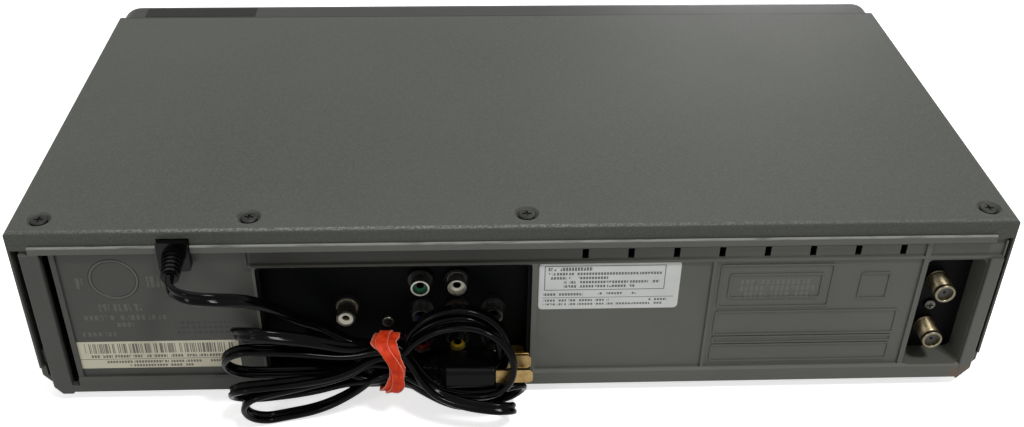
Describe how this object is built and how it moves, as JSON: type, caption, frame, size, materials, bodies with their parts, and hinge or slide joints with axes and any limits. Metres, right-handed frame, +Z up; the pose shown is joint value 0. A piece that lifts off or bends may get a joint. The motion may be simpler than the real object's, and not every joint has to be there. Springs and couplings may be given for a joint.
{
  "type": "vcr dvd combo player",
  "caption": "Flat case holding a cassette recorder and a disc player, with jacks, aerial connectors and a banded hank of power cord at the back.",
  "frame": {"origin": "middle of the case's outline, cord left out, on the floor under the feet", "axes": "+Z up, +X to the right seen from the front, front facing -Y and jacks facing +Y"},
  "size_m": [0.435, 0.2681, 0.095],
  "materials": {
    "case_plastic": "fine grain, dark warm grey",
    "cover_paint": "fine textured paint, dark warm grey",
    "front_plastic": "satin",
    "black_plastic": "satin black",
    "gloss_black": "gloss, smoked",
    "screw_steel": "blackened",
    "nickel": "nickel plate",
    "brass": "plain",
    "steel": "zinc plate",
    "aluminium": "turned",
    "rubber": "matt",
    "cord_vinyl": "soft vinyl",
    "red_rubber": "matt",
    "insert_plastic": "coloured by jack",
    "board": "paper laminate",
    "green_board": "glass laminate",
    "glass": "clear",
    "white_plastic": "acetal",
    "ferrite": "fired"
  },
  "bodies": {
    "case": {"chassis": "case_plastic", "top_cover": "cover_paint", "front_panel": "front_plastic", "cover_screws": "screw_steel", "rubber_feet": "rubber", "jack_plate": "black_plastic", "phono_shells": "nickel", "phono_inserts": "insert_plastic", "svideo_socket": "black_plastic", "rear_screws": "screw_steel", "ground_bracket": "brass", "tuner_box": "steel", "aerial_connectors": "nickel", "strain_relief": "rubber", "power_cord_lead": "cord_vinyl", "power_cord_hank": "cord_vinyl", "power_plug": "cord_vinyl", "plug_blades": "nickel", "cord_band": "red_rubber", "display_window": "gloss_black", "display_tube": "glass", "key_board": "board", "loader_frame": "black_plastic", "clamp_bridge": "steel", "deck_plate": "steel", "lower_drum": "aluminium", "holder_rails": "steel", "main_board": "board", "disc_board": "green_board", "power_transformer": "ferrite", "filter_capacitors": "gloss_black"},
    "door": {"cassette_door": "front_plastic"},
    "holder": {"cassette_holder": "steel"},
    "tray": {"disc_tray": "black_plastic", "tray_fascia": "front_plastic"},
    "gear": {"tray_gear": "white_plastic"},
    "traverse_unit": {"traverse": "black_plastic", "sled_rods": "steel"},
    "table": {"turntable": "black_plastic"},
    "sled": {"pickup_sled": "black_plastic"},
    "clamp": {"clamp_disc": "white_plastic"},
    "drum": {"upper_drum": "aluminium"},
    "supply": {"supply_reel": "white_plastic"},
    "takeup": {"takeup_reel": "white_plastic"},
    "capstan_rotor": {"capstan": "steel"},
    "pinch": {"pinch_arm": "steel"},
    "roller": {"pinch_roller": "rubber"},
    "supply_post": {"supply_guide": "steel"},
    "takeup_post": {"takeup_guide": "steel"},
    "power_key": {"power_button": "front_plastic"},
    "eject_key": {"eject_button": "front_plastic"},
    "rewind_key": {"rewind_button": "front_plastic"},
    "play_key": {"play_button": "front_plastic"},
    "forward_key": {"forward_button": "front_plastic"},
    "record_key": {"record_button": "front_plastic"},
    "tray_key": {"tray_button": "front_plastic"},
    "disc_play_key": {"disc_play_button": "front_plastic"},
    "disc_stop_key": {"disc_stop_button": "front_plastic"}
  },
  "joints": [
    {"name": "door_swing", "type": "hinge", "parent": "case", "child": "door", "pos_m": [-0.104, -0.11465, 0.0856], "axis": [1, 0, 0], "range_deg": [0, 88], "stiffness_Nm_per_rad": 0.004},
    {"name": "holder_slide", "type": "slide", "parent": "case", "child": "holder", "axis": [0, 1, 0], "range_m": [0, 0.055]},
    {"name": "tray_slide", "type": "slide", "parent": "case", "child": "tray", "axis": [0, -1, 0], "range_m": [0, 0.138]},
    {"name": "gear_turn", "type": "hinge", "parent": "case", "child": "gear", "pos_m": [0.158, -0.0944, 0.0629], "axis": [0, 0, -1], "range_deg": [0, 791]},
    {"name": "traverse_lift", "type": "slide", "parent": "case", "child": "traverse_unit", "axis": [0, 0, 1], "range_m": [0, 0.008]},
    {"name": "table_spin", "type": "hinge", "parent": "traverse_unit", "child": "table", "pos_m": [0.118, -0.0454, 0.0598], "axis": [0, 0, 1], "continuous": true},
    {"name": "sled_slide", "type": "slide", "parent": "traverse_unit", "child": "sled", "axis": [0, 1, 0], "range_m": [0, 0.034]},
    {"name": "clamp_spin", "type": "hinge", "parent": "case", "child": "clamp", "pos_m": [0.118, -0.0454, 0.0737], "axis": [0, 0, 1], "continuous": true},
    {"name": "drum_spin", "type": "hinge", "parent": "case", "child": "drum", "pos_m": [-0.104, 0.0626, 0.0235], "axis": [0.0872, 0, 0.9962], "continuous": true},
    {"name": "supply_turn", "type": "hinge", "parent": "case", "child": "supply", "pos_m": [-0.15, -0.0274, 0.025], "axis": [0, 0, 1], "continuous": true},
    {"name": "takeup_turn", "type": "hinge", "parent": "case", "child": "takeup", "pos_m": [-0.058, -0.0274, 0.025], "axis": [0, 0, 1], "continuous": true},
    {"name": "capstan_turn", "type": "hinge", "parent": "case", "child": "capstan_rotor", "pos_m": [-0.056, 0.0386, 0.0144], "axis": [0, 0, 1], "continuous": true},
    {"name": "pinch_swing", "type": "hinge", "parent": "case", "child": "pinch", "pos_m": [-0.03, 0.0226, 0.033], "axis": [0, 0, -1], "range_deg": [0, 20]},
    {"name": "roller_turn", "type": "hinge", "parent": "pinch", "child": "roller", "pos_m": [-0.05727, 0.02141, 0.033], "axis": [0, 0, 1], "continuous": true},
    {"name": "supply_guide_slide", "type": "slide", "parent": "case", "child": "supply_post", "axis": [-0.1146, 0.9934, 0], "range_m": [0, 0.0522]},
    {"name": "takeup_guide_slide", "type": "slide", "parent": "case", "child": "takeup_post", "axis": [0.1146, 0.9934, 0], "range_m": [0, 0.0522]},
    {"name": "power_press", "type": "slide", "parent": "case", "child": "power_key", "axis": [0, 1, 0], "range_m": [0, 0.001], "stiffness_N_per_m": 300},
    {"name": "eject_press", "type": "slide", "parent": "case", "child": "eject_key", "axis": [0, 1, 0], "range_m": [0, 0.001], "stiffness_N_per_m": 300},
    {"name": "rewind_press", "type": "slide", "parent": "case", "child": "rewind_key", "axis": [0, 1, 0], "range_m": [0, 0.001], "stiffness_N_per_m": 300},
    {"name": "play_press", "type": "slide", "parent": "case", "child": "play_key", "axis": [0, 1, 0], "range_m": [0, 0.001], "stiffness_N_per_m": 300},
    {"name": "forward_press", "type": "slide", "parent": "case", "child": "forward_key", "axis": [0, 1, 0], "range_m": [0, 0.001], "stiffness_N_per_m": 300},
    {"name": "record_press", "type": "slide", "parent": "case", "child": "record_key", "axis": [0, 1, 0], "range_m": [0, 0.001], "stiffness_N_per_m": 300},
    {"name": "tray_press", "type": "slide", "parent": "case", "child": "tray_key", "axis": [0, 1, 0], "range_m": [0, 0.001], "stiffness_N_per_m": 300},
    {"name": "disc_play_press", "type": "slide", "parent": "case", "child": "disc_play_key", "axis": [0, 1, 0], "range_m": [0, 0.001], "stiffness_N_per_m": 300},
    {"name": "disc_stop_press", "type": "slide", "parent": "case", "child": "disc_stop_key", "axis": [0, 1, 0], "range_m": [0, 0.001], "stiffness_N_per_m": 300}
  ],
  "couplings": [
    {"joint": "gear_turn", "follows": "tray_slide", "rad_per_m": 100},
    {"joint": "clamp_spin", "follows": "table_spin", "ratio": 1},
    {"joint": "takeup_guide_slide", "follows": "supply_guide_slide", "ratio": 1}
  ]
}
